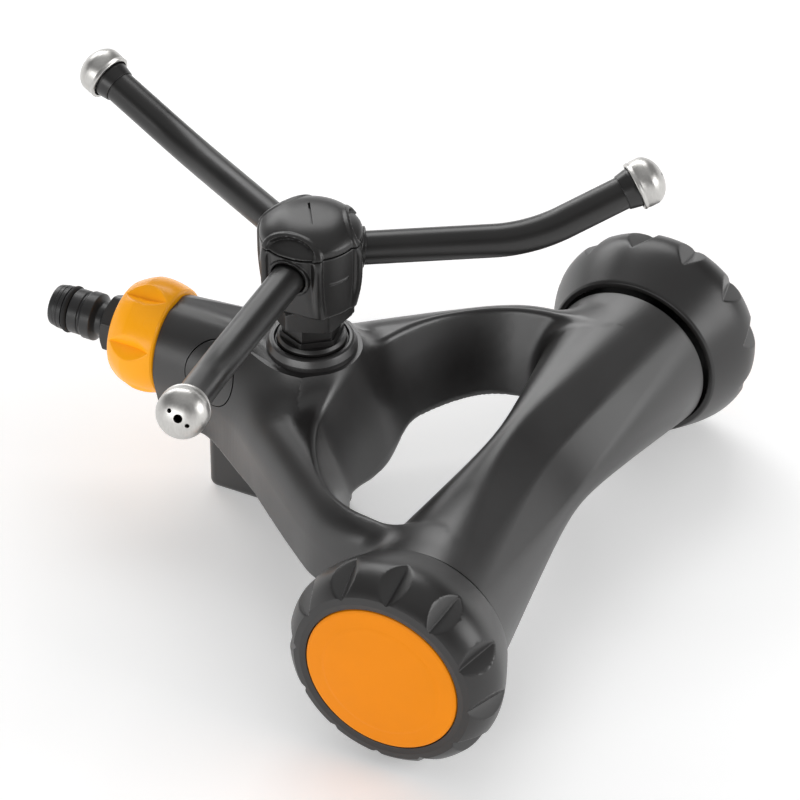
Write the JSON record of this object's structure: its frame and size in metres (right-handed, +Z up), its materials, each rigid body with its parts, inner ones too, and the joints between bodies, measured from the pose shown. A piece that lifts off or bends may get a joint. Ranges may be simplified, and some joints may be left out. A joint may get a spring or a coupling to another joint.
{
  "type": "rotary lawn sprinkler",
  "caption": "Rotary lawn sprinkler: bent arms with steel jet caps spin on a Y-shaped two-wheeled carriage with a hose quick-connector.",
  "frame": {"origin": "ground point straight under the rotor's spin axis, on the flat sole of the rear foot", "axes": "+Z up along the rotor's spin axis, -X along the inlet towards the hose, +Y along the wheel axle towards the left wheel"},
  "size_m": [0.2337, 0.2338, 0.1319],
  "materials": {
    "shell_black": "satin moulded, fine grain",
    "fitting_black": "matte moulded",
    "rotor_black": "satin moulded",
    "wheel_black": "matte moulded",
    "orange_plastic": "semi-gloss moulded",
    "steel": "zinc plated",
    "brushed_cap": "spun satin",
    "brass": "machined",
    "pale_plastic": "natural acetal",
    "seal_rubber": "matte"
  },
  "bodies": {
    "carriage": {"body_shell": "shell_black", "neck_plug": "shell_black", "bottom_cover": "shell_black", "rear_foot": "shell_black", "cover_screws": "steel", "water_tube": "fitting_black", "inlet_filter": "steel", "spigot_gasket": "seal_rubber", "boss_collar": "shell_black", "spindle": "brass", "gland_nut": "fitting_black", "gland_o_ring": "seal_rubber", "thrust_washer": "pale_plastic", "spindle_washer": "pale_plastic", "spindle_clip": "steel", "axle_rod": "steel", "axle_washers": "pale_plastic", "axle_clips": "steel"},
    "rotor": {"rotor_head": "rotor_black", "rotor_cap": "rotor_black", "cap_gasket": "seal_rubber", "bearing_sleeve": "pale_plastic", "arm_1": "rotor_black", "nozzle_collar_1": "rotor_black", "nozzle_cap_1": "brushed_cap", "nozzle_seal_1": "seal_rubber", "arm_2": "rotor_black", "nozzle_collar_2": "rotor_black", "nozzle_cap_2": "brushed_cap", "nozzle_seal_2": "seal_rubber", "arm_3": "rotor_black", "nozzle_collar_3": "rotor_black", "nozzle_cap_3": "brushed_cap", "nozzle_seal_3": "seal_rubber"},
    "left_wheel": {"left_wheel": "wheel_black", "left_hub_disc": "orange_plastic"},
    "right_wheel": {"right_wheel": "wheel_black", "right_hub_disc": "orange_plastic"},
    "hose_adapter": {"hose_adapter": "fitting_black", "adapter_o_ring": "seal_rubber"},
    "union_nut": {"union_nut": "orange_plastic"}
  },
  "joints": [
    {"name": "rotor_spin", "type": "hinge", "parent": "carriage", "child": "rotor", "pos_m": [0, 0, 0.09], "axis": [0, 0, 1], "continuous": true},
    {"name": "left_wheel_spin", "type": "hinge", "parent": "carriage", "child": "left_wheel", "pos_m": [0.0835, 0.095, 0.0375], "axis": [0, 1, 0], "continuous": true},
    {"name": "right_wheel_spin", "type": "hinge", "parent": "carriage", "child": "right_wheel", "pos_m": [0.0835, -0.095, 0.0375], "axis": [0, 1, 0], "continuous": true},
    {"name": "adapter_slide", "type": "slide", "parent": "carriage", "child": "hose_adapter", "axis": [-1, 0, 0], "range_m": [0, 0.00545]},
    {"name": "union_nut_turn", "type": "hinge", "parent": "hose_adapter", "child": "union_nut", "pos_m": [-0.062, 0, 0.053], "axis": [-1, 0, 0], "range_deg": [0, 1080]}
  ],
  "couplings": [
    {"joint": "adapter_slide", "follows": "union_nut_turn", "m_per_rad": 0.00028871}
  ]
}
